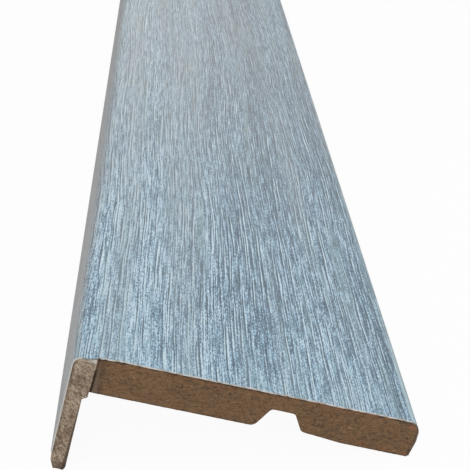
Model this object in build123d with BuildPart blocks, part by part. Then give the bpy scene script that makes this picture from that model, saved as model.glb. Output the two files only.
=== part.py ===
from build123d import *

import os
from math import atan2, cos, degrees, sin, tan

# Telescopic door architrave: an MDF face board with a glued-on MDF tongue, wrapped in decor foil.
# The section is drawn in its own two axes: across the face, from the tongue's outer side, and up,
# out of the face. The strip lies decor side up, as it comes to rest on a floor: on the tip of its
# tongue and on the back corner of its free edge. Sizes are in millimetres.

# Overall sizes of the stock
stock_length = 2250.0
face_width = 90.0
board_thickness = 10.4  # with its foil
tongue_drop = 32.8  # from the face to the tip of the tongue

# Decor foil
foil_thickness = 0.4
tongue_corner_radius = 3.0  # where the face turns down the tongue
free_edge_radius = 3.5
free_edge_upright = 5.6  # from the face; below it the free edge slopes back towards the wall
free_edge_bevel_inset = 0.8
free_edge_blend_radius = 8.0  # where the upright edge turns into its bevel
foil_tongue_reach = 28.3  # from the face, down the outside of the tongue
foil_edge_stop = 0.4  # the foil ends this far above the board's back, at the free edge

# Tongue
tongue_thickness = 4.5  # with its foil
tongue_head_top = 6.2  # with its foil, at the face
tongue_head_base = 5.8  # with its foil, at the back of the board
shoulder_drop = 0.7  # from the back of the board to the shoulder
shoulder_height = 0.8
tip_bevel_height = 2.2  # on the outside
tip_bevel_outer = 1.0
tip_bevel_inner = 0.5
tip_bevel_inner_height = 0.9
tongue_proud = 1.5  # the tongue's sawn end stands out of the board's

# Relief groove in the back
groove_centre = 54.7  # from the tongue's outer side
groove_mouth = 12.8
groove_floor = 6.2
groove_depth = 5.55
groove_mouth_radius = 2.0  # on the tongue's side
groove_lip_radius = 1.6  # on the free edge's side
groove_floor_radius = 1.2
back_relief_depth = 0.95  # the back is eased away beside the groove, on the free edge's side
back_relief_width = 11.0

# Section lines that several pieces share
bevel_lean = atan2(free_edge_bevel_inset, board_thickness - free_edge_upright)
foil_edge_reach = board_thickness - foil_edge_stop
foil_edge_end = face_width - (foil_edge_reach - free_edge_upright) * tan(bevel_lean)
shoulder_top = board_thickness + shoulder_drop
shoulder_foot = shoulder_top + shoulder_height
tip_inner = tongue_thickness - tip_bevel_inner
groove_lip = groove_centre + groove_mouth / 2
groove_lip -= (groove_mouth - groove_floor) / 2 * back_relief_depth / groove_depth
board_edge = face_width - foil_thickness
board_bevel_top = foil_thickness * tan(bevel_lean / 2) - free_edge_upright
board_corner = face_width - free_edge_bevel_inset - foil_thickness / cos(bevel_lean)

# The resting pose: the tip's inner corner and the board's lower corner touch the floor
tilt = atan2(tongue_drop - board_thickness, board_corner - tip_inner)
face_height = tip_inner * sin(tilt) + tongue_drop * cos(tilt)
leftmost = min(
    -foil_tongue_reach * sin(tilt),  # the foil's lower edge, or the bare tongue below it
    foil_thickness * cos(tilt) - (tongue_drop - tip_bevel_height) * sin(tilt),
)
rightmost = face_width * cos(tilt) + free_edge_radius * (1 - cos(tilt) - sin(tilt))
overall_length = stock_length + tongue_proud
far_end = overall_length / 2


def section_at(y):
    """The section's plane at a place along the stock, with its normal towards the near end."""
    return Plane(
        origin=(-(leftmost + rightmost) / 2, y, face_height),
        x_dir=(cos(tilt), 0, -sin(tilt)),
        z_dir=(0, -1, 0),
    )


def foil_section(y, corners, radii):
    """A foil strip's section: its outside follows the corners, and its thickness lies inside."""
    with BuildSketch(section_at(y)) as strip:
        with BuildLine():
            outside = FilletPolyline(*corners, radius=radii)
            offset(outside, amount=foil_thickness, side=Side.RIGHT)
        make_face()
    return strip.sketch


# MDF face board, with its relief groove and rounded free edge
with BuildPart() as face_board:
    with BuildSketch(section_at(far_end)) as board_section:
        with BuildLine():
            back = FilletPolyline(
                (tongue_head_base, -board_thickness),
                (groove_centre - groove_mouth / 2, -board_thickness),
                (groove_centre - groove_floor / 2, groove_depth - board_thickness),
                (groove_centre + groove_floor / 2, groove_depth - board_thickness),
                (groove_lip, back_relief_depth - board_thickness),
                (groove_lip + back_relief_width, -board_thickness),
                (board_corner, -board_thickness),
                radius=[
                    groove_mouth_radius,
                    groove_floor_radius,
                    groove_floor_radius,
                    groove_lip_radius,
                    back_relief_width / 2,
                ],
            )
            front = FilletPolyline(
                back @ 1,
                (board_edge, board_bevel_top),
                (board_edge, -foil_thickness),
                (tongue_head_top, -foil_thickness),
                radius=[free_edge_blend_radius - foil_thickness, free_edge_radius - foil_thickness],
            )
            Line(front @ 1, back @ 0)
        make_face()
    extrude(amount=stock_length)
face_board.part.label = "face_board"

# MDF tongue: a head as deep as the board, a shoulder, and a thinner leg with a bevelled tip
with BuildPart() as tongue:
    with BuildSketch(section_at(far_end)) as tongue_section:
        with BuildLine():
            outer = FilletPolyline(
                (foil_thickness, tip_bevel_height - tongue_drop),
                (foil_thickness, -foil_thickness),
                (tongue_head_top, -foil_thickness),
                radius=tongue_corner_radius - foil_thickness,
            )
            inner = Polyline(
                outer @ 1,
                (tongue_head_base, -board_thickness),
                (tongue_head_base, -shoulder_top),
                (tongue_thickness, -shoulder_foot),
                (tongue_thickness, tip_bevel_inner_height - tongue_drop),
                (tip_inner, -tongue_drop),
                (foil_thickness + tip_bevel_outer, -tongue_drop),
            )
            Line(inner @ 1, outer @ 0)
        make_face()
    extrude(amount=overall_length)
tongue.part.label = "tongue"

# Decor foil: one skin over the tongue's outside, the face and the free edge
wrap = foil_section(
    far_end,
    [
        (0, -foil_tongue_reach),
        (0, 0),
        (face_width, 0),
        (face_width, -free_edge_upright),
        (foil_edge_end, -foil_edge_reach),
    ],
    radii=[tongue_corner_radius, free_edge_radius, free_edge_blend_radius],
)
wrap_over_proud_end = foil_section(
    far_end - stock_length,
    [(0, -foil_tongue_reach), (0, 0), (tongue_head_top, 0)],
    radii=[tongue_corner_radius],
)
with BuildPart() as decor_foil:
    extrude(wrap, amount=stock_length)
    extrude(wrap_over_proud_end, amount=tongue_proud)
decor_foil.part.label = "decor_foil"

os.makedirs("parts", exist_ok=True)
for piece in (face_board, tongue, decor_foil):
    export_step(piece.part, f"parts/{piece.part.label}.step")
    box = piece.part.bounding_box()
    print(piece.part.label, "from", box.min, "to", box.max)
print("resting tilt", round(degrees(tilt), 3), "degrees")
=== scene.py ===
import math

import bpy
import numpy as np
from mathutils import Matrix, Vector, noise


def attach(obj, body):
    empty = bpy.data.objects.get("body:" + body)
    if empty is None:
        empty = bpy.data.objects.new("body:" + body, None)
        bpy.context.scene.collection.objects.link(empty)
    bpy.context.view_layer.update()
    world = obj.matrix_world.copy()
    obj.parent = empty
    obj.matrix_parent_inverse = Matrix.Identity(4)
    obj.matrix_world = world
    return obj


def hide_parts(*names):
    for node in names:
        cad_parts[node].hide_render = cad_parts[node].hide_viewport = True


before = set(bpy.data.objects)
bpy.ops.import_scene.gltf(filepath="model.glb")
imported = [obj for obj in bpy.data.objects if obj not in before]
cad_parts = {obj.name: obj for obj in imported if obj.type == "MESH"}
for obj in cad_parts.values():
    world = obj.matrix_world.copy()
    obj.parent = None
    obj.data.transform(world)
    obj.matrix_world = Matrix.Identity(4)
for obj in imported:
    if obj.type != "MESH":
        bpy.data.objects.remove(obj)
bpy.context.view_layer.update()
print("frame loaded:", ", ".join(sorted(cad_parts)))

# the whole strip, in millimetres: across the face from the tongue's outer side, and up out of the face
strip = {
    "length": 2250.0,
    "faceWidth": 90.0,
    "boardThickness": 10.4,
    "tongueDrop": 32.8,
    "tongueProud": 1.5,  # the tongue's sawn end stands out of the board's
    "foil": 0.4,
    "bevelHeight": 4.8,  # the free edge's lower part slopes back
    "bevelInset": 0.8,
    "edgeRadius": 3.5,
    "cornerRadius": 3.0,
    "blendRadius": 8.0,
    "foilReach": 28.3,  # down the outside of the tongue
    "foilEdgeReach": 10.0,  # down the free edge
    "tipInner": 4.0,
    "tipBevel": 2.2,
    "headTop": 6.2,  # the seam between the tongue and the board, at the face
    "headBase": 5.8,  # and at the board's back
    "seamLean": 0.04,
}

farY = (strip["length"] + strip["tongueProud"]) / 2
boardY = farY - strip["length"]
tongueY = boardY - strip["tongueProud"]
bevelLean = math.atan2(strip["bevelInset"], strip["bevelHeight"])
bevelTop = strip["bevelHeight"] - strip["boardThickness"]
boardCorner = strip["faceWidth"] - strip["bevelInset"] - strip["foil"] / math.cos(bevelLean)
tilt = math.atan2(strip["tongueDrop"] - strip["boardThickness"], boardCorner - strip["tipInner"])
cosTilt, sinTilt = math.cos(tilt), math.sin(tilt)
leftmost = min(
    -strip["foilReach"] * sinTilt,  # the foil's lower edge, or the bare tongue below it
    strip["foil"] * cosTilt - (strip["tongueDrop"] - strip["tipBevel"]) * sinTilt,
)
rightmost = strip["faceWidth"] * cosTilt + strip["edgeRadius"] * (1 - cosTilt - sinTilt)
faceX = -(leftmost + rightmost) / 2  # where the face's corner line lies
faceZ = strip["tipInner"] * sinTilt + strip["tongueDrop"] * cosTilt


def inWorld(across, up, along):
    across, up, along = np.broadcast_arrays(across, up, along)
    x = faceX + across * cosTilt + up * sinTilt
    z = faceZ - across * sinTilt + up * cosTilt
    return np.stack([x, along, z], -1) / 1000


def seamAt(up):
    return strip["headBase"] + (up + strip["boardThickness"]) * strip["seamLean"]


def wobble(*at):
    return noise.noise(Vector(at))


def headBulge(across, up):  # the tongue's head is torn out a little at the near end, more in its middle
    fade = min(max((up + 5.5) / 4, 0), 1)
    return fade * float(np.interp(across, [0.5, 1.5, 3.0, 4.4, 6.2], [0.0, -0.35, -0.9, -0.6, 0.4]))


def roundedLine(corners, radii, turns=9):
    points = [corners[0]]
    for k, radius in enumerate(radii, 1):
        before, corner, after = (np.array(corners[k + d], float) for d in (-1, 0, 1))
        back = (before - corner) / np.linalg.norm(before - corner)
        onward = (after - corner) / np.linalg.norm(after - corner)
        half = math.acos(float(back @ onward)) / 2
        middle = back + onward
        centre = corner + middle / np.linalg.norm(middle) * radius / math.sin(half)
        first = corner + back * radius / math.tan(half) - centre
        last = corner + onward * radius / math.tan(half) - centre
        start = math.atan2(first[1], first[0])
        sweep = (math.atan2(last[1], last[0]) - start + math.pi) % (2 * math.pi) - math.pi
        for step in range(turns + 1):
            angle = start + sweep * step / turns
            points.append((centre[0] + radius * math.cos(angle), centre[1] + radius * math.sin(angle)))
    points.append(corners[-1])
    return np.array(points, float)


def filledIn(points, step):  # no two points further apart than step
    full = [points[0]]
    for a, b in zip(points[:-1], points[1:]):
        count = max(1, math.ceil(np.linalg.norm(b - a) / step))
        full += [a + (b - a) * k / count for k in range(1, count + 1)]
    return np.array(full)


def spread(values, last, step, twins=0.012):  # sorted, without near twins, and filled in
    values = np.unique(values.round(4))
    values = values[np.concatenate([[True], np.diff(values) > twins])]
    values[-1] = last
    return filledIn(values[:, None], step)[:, 0]


def runLength(points):
    return np.concatenate([[0.0], np.cumsum(np.linalg.norm(np.diff(points, axis=0), axis=1))])


# where the long sides have points, from the near end: closer together at both ends
stations = [0, 0.25, 0.7, 2, 8, 40, 160, 420, 760, 1125]
stations += [1490, 1830, 2090, 2210, 2242, 2248, 2249.3, 2249.75, 2250]
crispAngle = math.radians(28)  # sharper folds keep a hard edge


# a solid between two rails of the section: sawn ends with their relief, and long sides between them
def ruledBlock(name, railA, railB, cells, nearY, relief, wear, layout):
    count = len(railA)
    share = np.linspace(0, 1, cells + 1)[None, :, None]
    grid = railA[:, None, :] * (1 - share) + railB[:, None, :] * share
    loop = [(i, 0) for i in range(count)] + [(count - 1, j) for j in range(1, cells + 1)]
    loop += [(i, cells) for i in range(count - 2, -1, -1)] + [(0, j) for j in range(cells - 1, 0, -1)]
    verts, girths, faces, smooths, uvs = [], [], [], [], []
    run = runLength(railB)

    def cap(end):
        flat = grid.copy()
        along = np.zeros(flat.shape[:2])
        for i in range(count):
            for j in range(cells + 1):
                along[i, j] = relief(flat[i, j, 0], flat[i, j, 1], end)
        for i, j in loop:  # the sawn arris is a little broken
            inside = (min(max(i, 1), count - 2), min(max(j, 1), cells - 1)) if cells > 1 else (i, j)
            toward = grid[inside] - grid[i, j]
            size = np.linalg.norm(toward)
            worn = wear(grid[i, j, 0], grid[i, j, 1], end)
            if size > 0:
                flat[i, j] += toward / size * min(worn, 0.6 * size)
            along[i, j] += 0.8 * worn
        return flat, (nearY[:, None] + along if end == 0 else farY - along)

    for flat, along in (cap(0), cap(1)):
        verts.append(inWorld(flat[..., 0], flat[..., 1], along).reshape(-1, 3))
        girths.append(np.repeat(run, cells + 1))
    capSize = count * (cells + 1)
    rings = [[i * (cells + 1) + j for i, j in loop]]
    edge = np.array([grid[i, j] for i, j in loop])
    start = np.array([nearY[i] for i, j in loop])
    edgeRun = np.array([run[i] for i, j in loop])
    for s in stations[1:-1]:
        at = 2 * capSize + (len(rings) - 1) * len(loop)
        verts.append(inWorld(edge[:, 0], edge[:, 1], start + (farY - start) * s / stations[-1]))
        girths.append(edgeRun)
        rings.append(list(range(at, at + len(loop))))
    rings.append([capSize + i * (cells + 1) + j for i, j in loop])

    def spot(rect, u, v):
        return rect[0] + (rect[2] - rect[0]) * u, rect[1] + (rect[3] - rect[1]) * v

    reach = run / run[-1]
    for end, rect in ((0, layout["near"]), (1, layout["far"])):
        for i in range(count - 1):
            for j in range(cells):
                quad = [(i, j), (i + 1, j), (i + 1, j + 1), (i, j + 1)]
                quad = quad if end == 0 else quad[::-1]
                faces.append([end * capSize + a * (cells + 1) + b for a, b in quad])
                uvs += [spot(rect, reach[a], b / cells) for a, b in quad]
                smooths.append(cells == 1)
    around = []
    for side, steps in (("railA", count - 1), ("stop", cells), ("railB", count - 1), ("start", cells)):
        for k in range(steps):
            if side == "railA":
                around.append((side, reach[k], reach[k + 1]))
            elif side == "railB":
                around.append((side, reach[count - 1 - k], reach[count - 2 - k]))
            else:
                around.append((side, k / steps, (k + 1) / steps))
    last = len(stations) - 1
    half = len(stations) // 2
    for s in range(last):
        for k, (side, uA, uB) in enumerate(around):
            nextK = (k + 1) % len(loop)
            faces.append([rings[s][k], rings[s + 1][k], rings[s + 1][nextK], rings[s][nextK]])
            rects = layout[side]  # one for the whole length, or one for each half of it
            folds = [0, last] if len(rects) == 1 else [0, half, last]
            fold = 1 if len(rects) > 1 and s >= half else 0
            low, high = stations[folds[fold]], stations[folds[fold + 1]]
            vA, vB = ((stations[q] - low) / (high - low) for q in (s, s + 1))
            rect = rects[fold]
            uvs += [spot(rect, uA, vA), spot(rect, uA, vB), spot(rect, uB, vB), spot(rect, uB, vA)]
            smooths.append(True)
    mesh = bpy.data.meshes.new(name)
    mesh.from_pydata(np.concatenate(verts).tolist(), [], faces)
    mesh.polygons.foreach_set("use_smooth", smooths)
    mesh.set_sharp_from_angle(angle=crispAngle)
    mesh.uv_layers.new(name="OFBake").uv.foreach_set("vector", np.array(uvs, np.float32).ravel())
    girth = mesh.attributes.new("girth", "FLOAT", "POINT")
    girth.data.foreach_set("value", np.concatenate(girths).astype(np.float32))
    mesh.validate()
    piece = bpy.data.objects.new(name, mesh)
    bpy.context.scene.collection.objects.link(piece)
    print(f"{name}: {len(mesh.vertices)} points, {len(mesh.polygons)} faces")
    return piece


# a node's output, with arithmetic that adds Math nodes
class Wire:
    def __init__(self, finish, socket):
        self.finish = finish
        self.socket = socket

    def math(self, operation, first, second):
        return self.finish.node("ShaderNodeMath", {"operation": operation}, {0: first, 1: second})

    def __add__(self, other):
        return self.math("ADD", self, other)

    def __radd__(self, other):
        return self.math("ADD", other, self)

    def __sub__(self, other):
        return self.math("SUBTRACT", self, other)

    def __rsub__(self, other):
        return self.math("SUBTRACT", other, self)

    def __mul__(self, other):
        return self.math("MULTIPLY", self, other)

    def __rmul__(self, other):
        return self.math("MULTIPLY", other, self)

    def __truediv__(self, other):
        return self.math("DIVIDE", self, other)

    def __abs__(self):
        return self.math("ABSOLUTE", self, 0.0)

    def rise(self, low, high):  # 0 at low, 1 at high, eased between
        return self.finish.node(
            "ShaderNodeMapRange", {"interpolation_type": "SMOOTHSTEP"}, {0: self, 1: low, 2: high}
        )


class Finish:
    def __init__(self, name, owner=None):
        self.material = owner or bpy.data.materials.new(name)
        self.material.use_nodes = True
        self.tree = self.material.node_tree
        self.tree.nodes.clear()

    def node(self, kind, settings=None, sockets=None, out=0):
        made = self.tree.nodes.new(kind)
        for key, value in (settings or {}).items():
            if key == "stops":
                ramp = made.color_ramp
                while len(ramp.elements) < len(value):
                    ramp.elements.new(1.0)
                for stop, (at, colour) in zip(ramp.elements, value):
                    stop.position = at
                    stop.color = colour
            elif key == "easing":
                made.color_ramp.interpolation = value
            else:
                setattr(made, key, value)
        for key, value in (sockets or {}).items():
            if isinstance(value, Wire):
                self.tree.links.new(value.socket, made.inputs[key])
            else:
                made.inputs[key].default_value = value
        return Wire(self, made.outputs[out]) if made.outputs else None

    def mix(self, share, first, second):
        return self.node("ShaderNodeMix", {"data_type": "RGBA"}, {0: share, 6: first, 7: second}, 2)

    def ramp(self, value, stops, easing="LINEAR"):
        return self.node("ShaderNodeValToRGB", {"stops": stops, "easing": easing}, {0: value})

    def mottle(self, across, along, seed, detail=0.0, rough=0.5):
        at = self.node("ShaderNodeCombineXYZ", None, {0: across, 1: along, 2: seed})
        sockets = {"Vector": at, "Scale": 1.0, "Detail": detail, "Roughness": rough}
        return self.node("ShaderNodeTexNoise", None, sockets)

    def axes(self):  # across, up and along, in millimetres
        at = self.node("ShaderNodeTexCoord", None, None, 3)
        x, y, z = (self.node("ShaderNodeSeparateXYZ", None, {0: at}, k) for k in range(3))
        x, y, z = x * 1000 - faceX, y * 1000, z * 1000 - faceZ
        return x * cosTilt - z * sinTilt, x * sinTilt + z * cosTilt, y

    def sawnEnds(self, low, high):  # 1 where the surface faces along the stock
        normal = self.node("ShaderNodeNewGeometry", None, None, 3)
        facing = self.node("ShaderNodeSeparateXYZ", None, {0: normal}, 1)
        return abs(facing).rise(low, high)

    def girth(self):
        return self.node("ShaderNodeAttribute", {"attribute_name": "girth"}, None, 2)

    def bump(self, height, strength, distance):
        sockets = {"Strength": strength, "Distance": distance, "Height": height}
        return self.node("ShaderNodeBump", None, sockets)

    def seen(self):  # 1 for what the camera sees, also by reflection or through glass
        kinds = ("Is Camera Ray", "Is Glossy Ray", "Is Transmission Ray")
        camera, glossy, through = (self.node("ShaderNodeLightPath", None, None, kind) for kind in kinds)
        return (camera + glossy + through).rise(0.0, 1.0)

    def surface(self, **sockets):
        values = {key.replace("_", " "): value for key, value in sockets.items()}
        shader = self.node("ShaderNodeBsdfPrincipled", None, values)
        self.node("ShaderNodeOutputMaterial", None, {"Surface": shader})
        return self.material


def paint(red, green, blue):  # a colour as it looks, 0 to 255
    def linear(value):
        value /= 255
        return value / 12.92 if value <= 0.04045 else ((value + 0.055) / 1.055) ** 2.4

    return linear(red), linear(green), linear(blue), 1.0


def grey(value):
    return value, value, value, 1.0


# decor foil: one skin over the tongue's outside, the face and the free edge
foilLook = {
    "dark": paint(66, 90, 107),
    "shade": paint(111, 139, 160),
    "ground": paint(133, 169, 195),
    "light": paint(175, 208, 228),
    "streak": paint(214, 234, 243),
    "greyGround": paint(146, 158, 163),
    "mint": paint(150, 184, 188),
    "farPaintedSheen": paint(162, 154, 144),
    "sideWarmPaintedLight": paint(110, 90, 72),
    "sideWarmPaintedLightFar": paint(82, 68, 58),
    "edgeLit": paint(192, 218, 226),
    "edgeShade": paint(98, 114, 122),
    "cutEdge": paint(226, 224, 220),
    "cutEdgeStained": paint(178, 168, 156),
    "cutEdgePaintedShade": paint(104, 80, 62),
    "cutEdgeShade": paint(104, 106, 102),
    "grit": (0.24, 1.0),  # width and length of the finest marks
    "fine": (0.34, 9.0),
    "pale": (0.29, 36.0),
    "stripe": (1.2, 60.0),
    "band": (3.5, 150.0),
    "cloud": (12.0, 420.0),
    "dull": (7.0, 160.0),
    "tint": (3.0, 90.0),
    "sway": (38.0, 120.0),  # the lines of the grain bend over this width and length
    "waver": (4.0, 18.0),
    "gritDepth": 1.18,
    "fineDepth": 1.0,
    "paleDepth": 0.55,
    "deepDepth": 0.52,
    "stripeDepth": 0.24,
    "bandDepth": 0.1,
    "cloudDepth": 0.14,
    "dullShare": 0.25,
    "tintShare": 0.22,
    "swayDepth": 4.0,
    "waverDepth": 0.6,
    "flank": 0.42,  # from a pore's lit side to its shaded one
    "tones": [(0.0, 0.53), (0.2, 0.53), (0.42, 0.46), (0.58, 0.34), (0.74, 0.5), (0.9, 0.38)],
    "pointGap": 0.4,
    "seamGap": 0.015,  # on each side of the step to the tongue's proud end
}


def makeFoil():
    width, edgeReach, headTop = strip["faceWidth"], strip["foilEdgeReach"], strip["headTop"]
    edgeEnd = width - (bevelTop + edgeReach) * math.tan(bevelLean)
    outer = roundedLine(
        [(0, -strip["foilReach"]), (0, 0), (width, 0), (width, bevelTop), (edgeEnd, -edgeReach)],
        [strip["cornerRadius"], strip["edgeRadius"], strip["blendRadius"]],
    )
    seam = next(k for k in range(len(outer)) if outer[k, 0] > headTop)
    beside = [(headTop - foilLook["seamGap"], 0.0), (headTop + foilLook["seamGap"], 0.0)]
    outer = np.concatenate([outer[:seam], beside, outer[seam:]])
    outer = filledIn(outer, foilLook["pointGap"])
    heading = np.gradient(outer, axis=0)
    heading /= np.linalg.norm(heading, axis=1)[:, None]
    inner = outer + np.stack([heading[:, 1], -heading[:, 0]], 1) * strip["foil"]
    nearY = np.where(outer[:, 0] < headTop, tongueY, boardY)

    def relief(across, up, end):
        ragged = 0.24 * wobble(across * 0.21, up * 0.21, 7.3 + end)
        ragged += 0.12 * wobble(across * 1.1, up * 1.1, 3.7 + end)
        chip = max(0.0, wobble(across * 0.8, up * 0.8, 21.4 + end) - 0.3)
        if across < headTop:
            return ragged * 0.4 + (headBulge(across, up) if end == 0 else 0.0)
        lap = 0.5 * min(max((11 - across) / 4, 0), 1) if end == 0 else 0.0
        return ragged + chip * 0.8 - lap

    piece = ruledBlock(
        "decor_foil_skin",
        inner,
        outer,
        cells=1,
        nearY=nearY,
        relief=relief,
        wear=lambda across, up, end: 0.0,
        layout={
            "near": (0, 0, 1, 0.03),
            "far": (0, 0.035, 0.5, 0.05),
            "start": [(0.55, 0.035, 0.75, 0.05)],
            "stop": [(0.8, 0.035, 1, 0.05)],
            "railA": [(0.975, 0.06, 1, 1)],
            "railB": [(0, 0.06, 0.48, 1), (0.49, 0.06, 0.97, 1)],
        },
    )
    look = Finish("greyOakFoil")
    face = outer[:, 1] > -0.001
    faceStart = float(np.interp(strip["cornerRadius"], outer[face, 0], runLength(outer)[face]))
    along = look.axes()[2]
    girth = look.girth() - (faceStart - strip["cornerRadius"])  # runs as the distance across the face does

    def marks(name, seed, at):
        wide, long = foilLook[name]
        return look.mottle(at / wide, along / long, seed)

    sway = (marks("sway", 1.5, girth) - 0.5) * foilLook["swayDepth"]
    waver = (marks("waver", 2.7, girth) - 0.5) * foilLook["waverDepth"]
    across = girth + sway + waver
    grit = marks("grit", 7.31, across) - 0.5
    fine = marks("fine", 11.37, across) - 0.5
    # the pores have a shaded flank beside a lit one
    pale = marks("pale", 23.61, across).rise(0.55, 0.8)
    deep = marks("pale", 23.61, across + foilLook["flank"]).rise(0.54, 0.78)
    stripe = marks("stripe", 37.42, across) - 0.5
    band = marks("band", 41.55, across) - 0.5
    cloud = marks("cloud", 53.7, across) - 0.5
    tone = look.ramp(girth / width, [(at, grey(value)) for at, value in foilLook["tones"]], "B_SPLINE")
    # fade grows towards the far end, where the print is made paler, greyer and flatter: painted sheen and
    # painted falloff of light
    fade = along.rise(boardY + 20, boardY + 330)
    near = along.rise(boardY + 48, boardY + 6)
    marked = grit * foilLook["gritDepth"] + fine * foilLook["fineDepth"]
    marked = marked + pale * foilLook["paleDepth"] - deep * foilLook["deepDepth"]
    level = tone + marked * (1.17 - 0.34 * fade - 0.26 * near)
    level = level + abs(girth - 55).rise(36, 14) * near * 0.095
    level = level + (0.3 - girth / width) * fade * 0.13 - abs(girth - 63).rise(18, 4) * fade * 0.08
    level = level + stripe * (foilLook["stripeDepth"] + 0.14 * fade)
    level = level + band * foilLook["bandDepth"] + cloud * foilLook["cloudDepth"]
    printed = look.ramp(
        level,
        [
            (0.12, foilLook["dark"]),
            (0.34, foilLook["shade"]),
            (0.5, foilLook["ground"]),
            (0.68, foilLook["light"]),
            (0.88, foilLook["streak"]),
        ],
    )
    dull = marks("dull", 71.4, across).rise(0.45, 0.75) * foilLook["dullShare"]
    colour = look.mix(dull, printed, foilLook["greyGround"])
    tint = marks("tint", 91.8, across).rise(0.55, 0.75) * foilLook["tintShare"]
    colour = look.mix(tint, colour, foilLook["mint"])
    # painted sheen: the print turns warm grey towards the far end
    colour = look.mix(fade * (0.38 - girth / 520), colour, foilLook["farPaintedSheen"])
    # the free edge's round: a lit line at the near end, then shade
    lit = abs(girth - 87.9).rise(1.0, 0.3) * along.rise(boardY + 62, boardY + 18)
    colour = look.mix(lit * 0.7, colour, foilLook["edgeLit"])
    colour = look.mix(girth.rise(88.3, 89.8) * 0.35, colour, foilLook["edgeShade"])
    # painted warm light on the foil down the tongue's side, with painted shade towards the far end
    side = (girth + sway * 0.5).rise(3.2, -2.6)  # round the corner, down the tongue
    sidePaintedLightTone = look.mix(fade, foilLook["sideWarmPaintedLight"], foilLook["sideWarmPaintedLightFar"])
    colour = look.mix(side * 0.66, colour, sidePaintedLightTone)
    # the cut edge at the sawn ends
    stained = look.mottle(girth / 1.7, 0.0, 83.2, 1.0).rise(0.42, 0.6) * girth.rise(0.0, 4.0)
    stained = stained + girth.rise(3.0, 0.0) * 0.5
    rim = look.mix(stained * 0.8, foilLook["cutEdge"], foilLook["cutEdgeStained"])
    # painted shade on the cut edge along the free edge
    rim = look.mix(girth.rise(86.5, 89.0), rim, foilLook["cutEdgePaintedShade"])
    rim = look.mix(girth.rise(1.6, 2.6) * girth.rise(6.3, 5.9) * 0.7, rim, foilLook["cutEdgeShade"])
    colour = look.mix(look.sawnEnds(0.5, 0.8), colour, rim)
    rough = 0.46 - fine * 0.1
    bump = look.bump(fine * 2 + pale - deep, 0.35, 0.00012)
    piece.data.materials.append(look.surface(Base_Color=colour, Roughness=rough, Normal=bump))
    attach(piece, "root")
    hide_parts("decor_foil")


# face board: MDF with a relief groove in its back
boardLook = {
    "ground": paint(118, 91, 63),
    "deep": paint(82, 60, 41),
    "warm": paint(138, 104, 72),
    "rust": paint(140, 84, 48),
    "chip": paint(196, 156, 116),
    "bruise": paint(168, 98, 84),
    "back": paint(150, 121, 92),
    "glue": paint(126, 107, 91),
    "jointAndPaintedShade": paint(40, 31, 25),
    "groove": (54.7, 12.8, 6.2, 5.55),  # centre, mouth, floor and depth
    "grooveRadii": (2.0, 1.2, 1.6),  # mouth, floor and the lip on the free edge's side
    "relief": (0.95, 11.0),  # how far the back is eased away beside the groove, and how wide
    "seamFade": 7.0,  # the seam's lean dies out over this width
    "cells": 22,  # from the back to the face
    "pointGap": 0.42,
}


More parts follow.
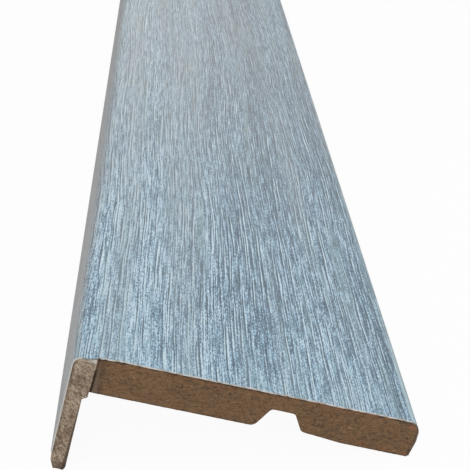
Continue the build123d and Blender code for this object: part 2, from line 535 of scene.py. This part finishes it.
def makeBoard():
    centre, mouth, floor, depth = boardLook["groove"]
    mouthRound, nook, lip = boardLook["grooveRadii"]
    easedDepth, easedWidth = boardLook["relief"]
    lipAt = centre + mouth / 2 - (mouth - floor) / 2 * easedDepth / depth
    thick, foil, seam = strip["boardThickness"], strip["foil"], strip["headBase"]
    edge = strip["faceWidth"] - foil
    back = roundedLine(
        [
            (seam, -thick),
            (centre - mouth / 2, -thick),
            (centre - floor / 2, depth - thick),
            (centre + floor / 2, depth - thick),
            (lipAt, easedDepth - thick),
            (lipAt + easedWidth, -thick),
            (boardCorner, -thick),
        ],
        [mouthRound, nook, nook, lip, easedWidth / 2],
    )
    bevelFoot = bevelTop + foil * math.tan(bevelLean / 2)
    bevel = roundedLine(
        [(boardCorner, -thick), (edge, bevelFoot), (edge, -foil)], [strip["blendRadius"] - foil]
    )
    back = np.concatenate([back, bevel[1:-1]])
    front = roundedLine([(seam, -foil), (edge, -foil), (edge, -thick)], [strip["edgeRadius"] - foil])[:-1]
    places = spread(np.concatenate([back[:, 0], front[:, 0]]), edge, boardLook["pointGap"])
    railA = np.stack([places, np.interp(places, back[:, 0], back[:, 1])], 1)
    railB = np.stack([places, np.interp(places, front[:, 0], front[:, 1])], 1)
    lean = np.clip(1 - (places - seam) / boardLook["seamFade"], 0, 1)
    railB[:, 0] += (strip["headTop"] - seam) * lean

    def relief(across, up, end):
        layer = 0.05 * wobble(across * 0.25, up * 2.2, 5.2 + end)
        layer += 0.05 * wobble(across * 1.6, up * 2.8, 9.4 + end)
        under = min(max((up + 1.3) / 0.7, 0), 1)  # crumbled away under the foil
        gap = max(0.0, wobble(across * 0.42, 3.3, 50.6 + end) + 0.2) * (1.0 if across < 47 else 0.35)
        return max(0.0, 0.06 + layer) + 0.7 * under * gap

    def wear(across, up, end):
        return 0.05 + 0.22 * max(0.0, wobble(across * 0.8, up * 0.8, 15.3 + end))

    piece = ruledBlock(
        "face_board_mdf",
        railA,
        railB,
        cells=boardLook["cells"],
        nearY=np.full(len(places), boardY),
        relief=relief,
        wear=wear,
        layout={
            "near": (0, 0.72, 1, 1),
            "far": (0, 0.6, 1, 0.71),
            "railA": [(0, 0, 0.4, 0.59), (0.41, 0, 0.81, 0.59)],
            "railB": [(0.82, 0, 0.86, 0.59)],
            "start": [(0.87, 0, 0.9, 0.59)],
            "stop": [(0.91, 0, 0.95, 0.59)],
        },
    )
    look = Finish("boardMdf")
    across, up, along = look.axes()
    layer = look.mottle(across / 6, up / 0.5, 3.3, 2.0) - 0.5
    speck = look.mottle(across / 0.6, up / 0.45, 13.4, 2.0) - 0.5
    fibre = look.mottle(across / 1.1, up / 0.3, 29.6) - 0.5
    cloud = look.mottle(across / 9, up / 5, 33.2) - 0.5
    level = 0.52 + layer * 0.18 + speck * 1.2 + fibre * 0.5 + cloud * 0.2
    stops = [(0.22, boardLook["deep"]), (0.5, boardLook["ground"]), (0.8, boardLook["warm"])]
    sawn = look.ramp(level, stops)
    skins = up.rise(-2.6, -0.6) + up.rise(-7.6, -9.8) * across.rise(58, 76)  # the pressed skins are rustier
    rusty = look.mottle(across / 3.5, up / 1.2, 57.8, 1.0).rise(0.42, 0.66)
    sawn = look.mix(skins * rusty * 0.26, sawn, boardLook["rust"])
    flake = look.mottle(across / 1.3, up / 0.4, 43.7).rise(0.79, 0.85)
    sawn = look.mix(flake * 0.7, sawn, boardLook["chip"])
    bruise = (abs(across - 87.8) * 0.5 + abs(up + 1.8) * 1.5).rise(1.3, 0.3)
    sawn = look.mix(bruise * 0.45, sawn, boardLook["bruise"])
    # the glue line beside the tongue, the seam's dark joint with painted shade on the proud tongue's step,
    # and painted shade along the rims
    besideSeam = across - seamAt(up)
    besideBand = across - (7.32 - up * 0.066)
    glue = besideSeam.rise(0.3, 0.9) * besideBand.rise(0.5, -0.5) * up.rise(-0.8, -3.6)
    shadow = besideBand.rise(1.8, 0.2) * besideBand.rise(-0.7, 0.1)
    crack = besideSeam.rise(0.9, 0.45) * (up.rise(-3.4, -5.0) + up.rise(-1.5, -0.9))
    loose = look.mottle(across / 2.4, up / 3, 63.1, 1.0) + across.rise(50, 40) * 0.14
    loose = loose + across.rise(10, 7.5) * 0.5 + across.rise(82, 84.5) * 0.4
    # painted shadow under the foil's overhang, where the MDF is crumbled away
    under = up.rise(-1.15, -0.55) * loose.rise(0.5, 0.62)
    # painted shade along the bottom arris and beside the free edge
    edgeAt = strip["faceWidth"] - up.rise(bevelTop, -thick) * strip["bevelInset"]
    lower = up.rise(-9.9, -10.3) + (across - edgeAt).rise(-0.85, -0.5)
    sawn = look.mix(glue * (0.8 + speck), sawn, boardLook["glue"])
    for share in (shadow * 0.3, lower * 0.5, under * 0.85, crack * 0.85):
        sawn = look.mix(share, sawn, boardLook["jointAndPaintedShade"])
    # the sanded back
    fleece = look.mottle(across / 0.9, along / 1.6, 47.3, 3.0) - 0.5
    sanded = look.ramp(0.5 + fleece * 0.8, [(0.2, boardLook["ground"]), (0.55, boardLook["back"])])
    colour = look.mix(look.sawnEnds(0.4, 0.7), sanded, sawn)
    bump = look.bump(speck + fibre, 0.5, 0.0003)
    piece.data.materials.append(look.surface(Base_Color=colour, Roughness=0.85, Normal=bump))
    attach(piece, "root")
    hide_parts("face_board")


# tongue: MDF with a head as deep as the board, a shoulder and a thinner leg with a bevelled tip
tongueLook = {
    "ground": paint(158, 138, 117),
    "deep": paint(108, 88, 71),
    "pale": paint(196, 178, 158),
    "torn": paint(226, 220, 212),
    "darkAndPaintedShade": paint(66, 51, 40),
    "glue": paint(226, 222, 214),
    "side": paint(158, 134, 108),
    # the side towards the board, from the tip up
    "inner": [(4.0, -32.8), (4.5, -31.9), (4.5, -11.9), (5.8, -11.1), (5.8, -10.4), (6.2, -0.4)],
    "tipOuter": (1.4, -32.8),
    "bead": (5.25, -10.85),  # a bead of glue at the shoulder
    "cells": 12,  # from the inner side to the outer
    "pointGap": 0.38,
}


def makeTongue():
    inner = np.array(tongueLook["inner"])
    foil = strip["foil"]
    outer = roundedLine(
        [(foil, strip["tipBevel"] - strip["tongueDrop"]), (foil, -foil), (strip["headTop"], -foil)],
        [strip["cornerRadius"] - foil],
    )[:-1]
    outer = np.concatenate([[tongueLook["tipOuter"]], outer])
    heights = spread(np.concatenate([inner[:, 1], outer[:, 1]]), -foil, tongueLook["pointGap"])
    railA = np.stack([np.interp(heights, inner[:, 1], inner[:, 0]), heights], 1)
    railB = np.stack([np.interp(heights, outer[:, 1], outer[:, 0]), heights], 1)

    def relief(across, up, end):
        torn = 0.16 * wobble(across * 0.7, up * 0.45, 31.2 + end)
        torn += 0.10 * wobble(across * 1.9, up * 1.5, 33.4 + end)
        return 0.04 + torn * 0.8 + (headBulge(across, up) if end == 0 else 0.0)

    def wear(across, up, end):
        return 0.04 + 0.22 * max(0.0, wobble(across * 0.9, up * 0.9, 35.0 + end))

    piece = ruledBlock(
        "tongue_mdf",
        railA,
        railB,
        cells=tongueLook["cells"],
        nearY=np.full(len(heights), tongueY),
        relief=relief,
        wear=wear,
        layout={
            "near": (0, 0.7, 1, 1),
            "far": (0, 0.58, 1, 0.69),
            "railA": [(0, 0, 0.4, 0.57), (0.41, 0, 0.8, 0.57)],
            "railB": [(0.81, 0, 0.88, 0.57)],
            "start": [(0.89, 0, 0.94, 0.57)],
            "stop": [(0.95, 0, 1, 0.57)],
        },
    )
    look = Finish("tongueMdf")
    across, up, along = look.axes()
    slant = across * 0.75 + up * 0.66
    rising = up * 0.75 - across * 0.66
    streak = look.mottle(slant / 0.36, rising / 1.7, 3.4, 1.0) - 0.5
    speck = look.mottle(across / 0.42, up / 0.5, 13.6, 2.0) - 0.5
    cloud = look.mottle(across / 3, up / 4, 17.2) - 0.5
    level = 0.5 + streak * 0.75 + speck * 1.05 + cloud * 0.4
    stops = [(0.22, tongueLook["deep"]), (0.5, tongueLook["ground"]), (0.78, tongueLook["pale"])]
    sawn = look.ramp(level, stops)
    # pale torn fibres at the top, a painted shadow behind the foil, a dark inner arris and a dark tip
    leg = up.rise(-10.8, -12.2)
    inside = across - seamAt(up) + leg * 1.25
    torn = up.rise(-1.5, -0.7) * across.rise(2.6, 5.4)
    behind = abs(across - 0.75).rise(0.5, 0.15) * up.rise(-29, -27) * up.rise(-1.0, -3.2)
    corner = (abs(across - 5.9) * 0.8 + abs(up + 0.9)).rise(1.3, 0.5)
    tip = up.rise(-30.5, -30.9) * (0.55 + look.mottle(across / 1.2, up / 1.2, 81.9, 1.0) * 0.5)
    parted = (abs(across - 0.5) + abs(up + 4.2) * 0.06).rise(0.36, 0.12)  # the foil has come away a little
    sawn = look.mix(torn * 0.8, sawn, tongueLook["torn"])
    sawn = look.mix(behind * 0.22, sawn, tongueLook["darkAndPaintedShade"])
    sawn = look.mix(corner * 0.95, sawn, tongueLook["torn"])
    arris = (inside + speck * 0.4).rise(-0.25, 0.0) * leg
    for share in (arris * 0.75, tip * 0.6, parted * 0.7):
        sawn = look.mix(share, sawn, tongueLook["darkAndPaintedShade"])
    aside, above = across - tongueLook["bead"][0], up - tongueLook["bead"][1]
    bead = aside * aside + above * above
    sawn = look.mix(bead.rise(0.2, 0.08) * 0.8, sawn, tongueLook["darkAndPaintedShade"])
    sawn = look.mix(bead.rise(0.05, 0.02), sawn, tongueLook["glue"])
    # the planed sides
    fleece = look.mottle(up / 0.9, along / 1.8, 47.5, 3.0) - 0.5
    planed = look.ramp(0.5 + fleece * 0.8, [(0.2, tongueLook["deep"]), (0.55, tongueLook["side"])])
    colour = look.mix(look.sawnEnds(0.3, 0.6), planed, sawn)
    bump = look.bump(streak + speck, 0.6, 0.0004)
    piece.data.materials.append(look.surface(Base_Color=colour, Roughness=0.9, Normal=bump))
    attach(piece, "root")
    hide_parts("tongue")


# camera, floor and lights
studio = {
    "cameraPlace": (-0.011466, -1.434552, 0.188982),
    "cameraTurn": (67.8501, 0.4786, -2.3863),  # degrees
    "lens": 107.579,
    "sensor": 36.0,
    "floorHalf": 6.0,
    "floorGrey": 0.85,
    "shadow": 0.045,  # how much of the floor's own shading the camera sees
    "ambient": 0.51,
    "aim": (0.0, -1.0, 0.02),
    "lamps": [  # place, size and power
        ("key", (-0.5, -2.5, 1.5), 1.2, 8.6),
        ("top", (0.3, -1.2, 1.9), 1.6, 8.2),
        ("back", (0.2, 2.2, 0.7), 1.0, 2.6),
    ],
}


def makeStudio():
    scene = bpy.context.scene
    scene.view_settings.view_transform = "Standard"
    lens = bpy.data.cameras.new("camera")
    lens.lens = studio["lens"]
    lens.sensor_width = studio["sensor"]
    camera = bpy.data.objects.new("camera", lens)
    camera.location = studio["cameraPlace"]
    camera.rotation_euler = [math.radians(a) for a in studio["cameraTurn"]]
    scene.collection.objects.link(camera)
    scene.camera = camera

    half = studio["floorHalf"]
    mesh = bpy.data.meshes.new("floor")
    corners = [(-half, -half, 0), (half, -half, 0), (half, half, 0), (-half, half, 0)]
    mesh.from_pydata(corners, [], [(0, 1, 2, 3)])
    floor = bpy.data.objects.new("floor", mesh)
    scene.collection.objects.link(floor)
    look = Finish("floorWhite")
    shaded = look.node("ShaderNodeBsdfDiffuse", None, {"Color": grey(studio["floorGrey"])})
    glow = look.node("ShaderNodeEmission", None, {"Color": grey(1.0), "Strength": 1.0})
    share = look.seen() * (1 - studio["shadow"])
    surface = look.node("ShaderNodeMixShader", None, {0: share, 1: shaded, 2: glow})
    look.node("ShaderNodeOutputMaterial", None, {"Surface": surface})
    mesh.materials.append(look.material)

    world = bpy.data.worlds.new("studio")
    scene.world = world
    sky = Finish("studio", world)
    strength = studio["ambient"] + sky.seen() * (1 - studio["ambient"])
    dome = sky.node("ShaderNodeBackground", None, {"Color": grey(1.0), "Strength": strength})
    sky.node("ShaderNodeOutputWorld", None, {"Surface": dome})

    aim = Vector(studio["aim"])
    for name, place, size, power in studio["lamps"]:
        lamp = bpy.data.lights.new(name, "AREA")
        lamp.size = size
        lamp.energy = power
        lampObject = bpy.data.objects.new(name, lamp)
        lampObject.location = place
        lampObject.rotation_euler = (aim - Vector(place)).to_track_quat("-Z", "Y").to_euler()
        scene.collection.objects.link(lampObject)
    print("studio set")


makeFoil()
makeBoard()
makeTongue()
makeStudio()
